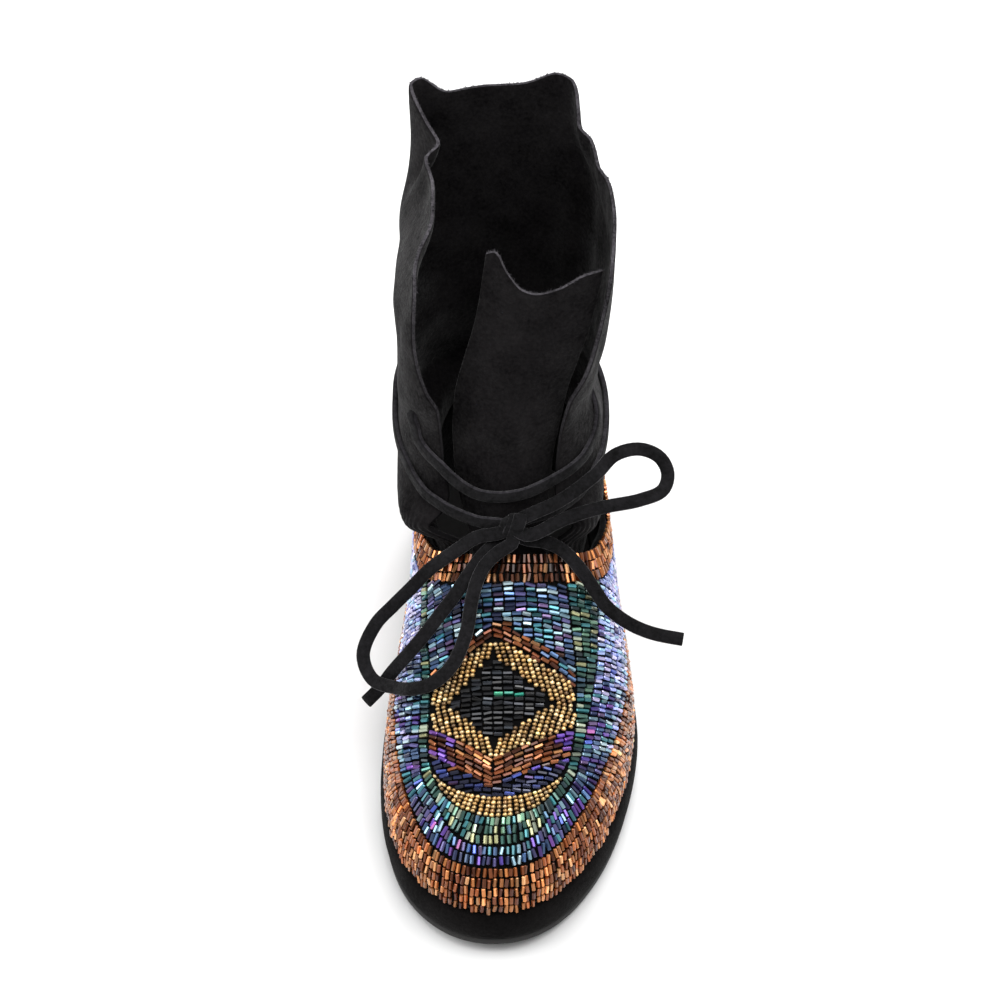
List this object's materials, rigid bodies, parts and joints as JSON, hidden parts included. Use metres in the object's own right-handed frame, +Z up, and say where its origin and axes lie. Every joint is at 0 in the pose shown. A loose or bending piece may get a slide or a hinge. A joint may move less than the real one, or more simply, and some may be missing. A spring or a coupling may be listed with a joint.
{
  "type": "lace-up moccasin boot",
  "caption": "Left suede moccasin ankle boot: bead-embroidered upper on a covered sole, soft open shaft, tongue and a flat thong lace tied in a bow in front.",
  "frame": {"origin": "on the floor, under the middle of the sole's length and ball width", "axes": "+Z up, toe towards -Y, heel towards +Y, +X towards the outer side of the left foot"},
  "size_m": [0.1235, 0.25, 0.2221],
  "materials": {
    "outsole_rubber": "matt moulded rubber",
    "suede_cover": "napped suede",
    "insole_leather": "smooth lining leather",
    "suede_upper": "napped suede",
    "suede_shaft": "napped suede",
    "suede_lace": "napped suede",
    "beads_copper": "metal-lined glass beads",
    "beads_blue": "iridescent glass beads",
    "beads_green": "iridescent glass beads",
    "beads_apron": "mixed iridescent glass beads"
  },
  "bodies": {
    "root": {"outsole": "outsole_rubber", "midsole": "suede_cover", "insole": "insole_leather", "upper": "suede_upper", "shaft": "suede_shaft", "tongue": "suede_shaft", "bead_lane_copper": "beads_copper", "bead_lane_blue": "beads_blue", "bead_lane_green": "beads_green", "bead_apron": "beads_apron", "bead_lane_throat": "beads_copper", "lace_front_crossing": "suede_lace", "lace_ankle_turn": "suede_lace", "bow_loop_left": "suede_lace", "bow_loop_right": "suede_lace", "lace_end_left": "suede_lace", "lace_end_right": "suede_lace", "bow_knot": "suede_lace"}
  },
  "joints": []
}
